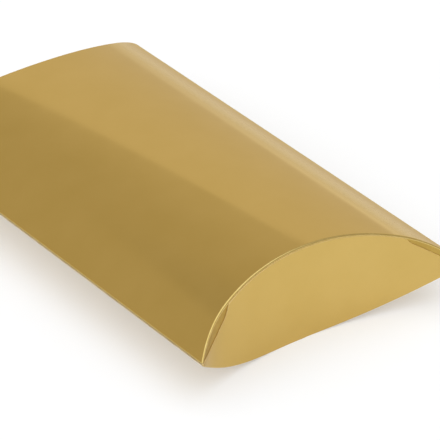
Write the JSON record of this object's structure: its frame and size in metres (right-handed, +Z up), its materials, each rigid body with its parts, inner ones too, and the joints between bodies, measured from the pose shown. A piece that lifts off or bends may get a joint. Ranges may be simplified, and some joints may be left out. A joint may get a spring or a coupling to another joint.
{
  "type": "pillow box",
  "caption": "Pillow box of gold-faced folding board: a bowed tube with a glued side seam and, at each end, curved flaps that fold in over one another.",
  "frame": {"origin": "on the table, under the middle of the box", "axes": "+X across the width, away from the glued seam; +Y along the length, towards the rear end; +Z up"},
  "size_m": [0.1642, 0.2996, 0.054],
  "materials": {
    "gold_board": "satin gold metallised face, pale uncoated back",
    "gold_score": "satin gold, rolled bright along the fold",
    "seam_board": "pale uncoated board",
    "glue": "dried clear adhesive"
  },
  "bodies": {
    "tube": {"top_panel": "gold_board", "bottom_panel": "gold_board", "side_fold": "gold_score", "seam_fold": "gold_score", "seam_tab": "seam_board", "seam_glue": "glue", "front_upper_crease": "gold_score", "front_lower_crease": "gold_score", "rear_upper_crease": "gold_score", "rear_lower_crease": "gold_score"},
    "front_outer_flap": {"front_outer_flap": "gold_board"},
    "front_inner_flap": {"front_inner_flap": "gold_board"},
    "rear_outer_flap": {"rear_outer_flap": "gold_board"},
    "rear_inner_flap": {"rear_inner_flap": "gold_board"}
  },
  "joints": [
    {"name": "front_outer_fold", "type": "hinge", "parent": "tube", "child": "front_outer_flap", "pos_m": [0, -0.123, 0], "axis": [1, 0, 0], "range_deg": [0, 90]},
    {"name": "front_inner_fold", "type": "hinge", "parent": "tube", "child": "front_inner_flap", "pos_m": [0, -0.12194, 0.054], "axis": [-1, 0, 0], "range_deg": [0, 45]},
    {"name": "rear_outer_fold", "type": "hinge", "parent": "tube", "child": "rear_outer_flap", "pos_m": [0, 0.123, 0], "axis": [-1, 0, 0], "range_deg": [0, 90]},
    {"name": "rear_inner_fold", "type": "hinge", "parent": "tube", "child": "rear_inner_flap", "pos_m": [0, 0.12194, 0.054], "axis": [1, 0, 0], "range_deg": [0, 45]}
  ],
  "couplings": [
    {"joint": "front_inner_fold", "follows": "front_outer_fold", "ratio": 0.5},
    {"joint": "rear_inner_fold", "follows": "rear_outer_fold", "ratio": 0.5}
  ]
}
